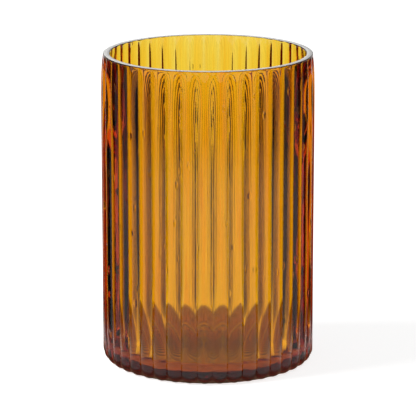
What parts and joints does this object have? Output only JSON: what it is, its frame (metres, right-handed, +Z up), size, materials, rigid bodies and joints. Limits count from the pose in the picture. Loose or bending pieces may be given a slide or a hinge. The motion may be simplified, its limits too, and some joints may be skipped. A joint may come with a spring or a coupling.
{
  "type": "ribbed glass vase",
  "caption": "Straight round vase of amber glass with rounded upright ribs outside, a plain bore, a ground and bevelled lip, a rounded heel and a thick floor hollowed underneath.",
  "frame": {"origin": "middle of the standing ring, on the surface that the vase stands on", "axes": "+Z up along the vase's axis, -Y towards the front"},
  "size_m": [0.1358, 0.136, 0.2],
  "materials": {
    "amber_glass": "fire polished, transparent amber",
    "ground_glass": "ground flat, satin"
  },
  "bodies": {
    "root": {"ground_lip": "ground_glass", "ribbed_wall": "amber_glass", "heel_ring": "amber_glass", "floor_disc": "amber_glass"}
  },
  "joints": []
}
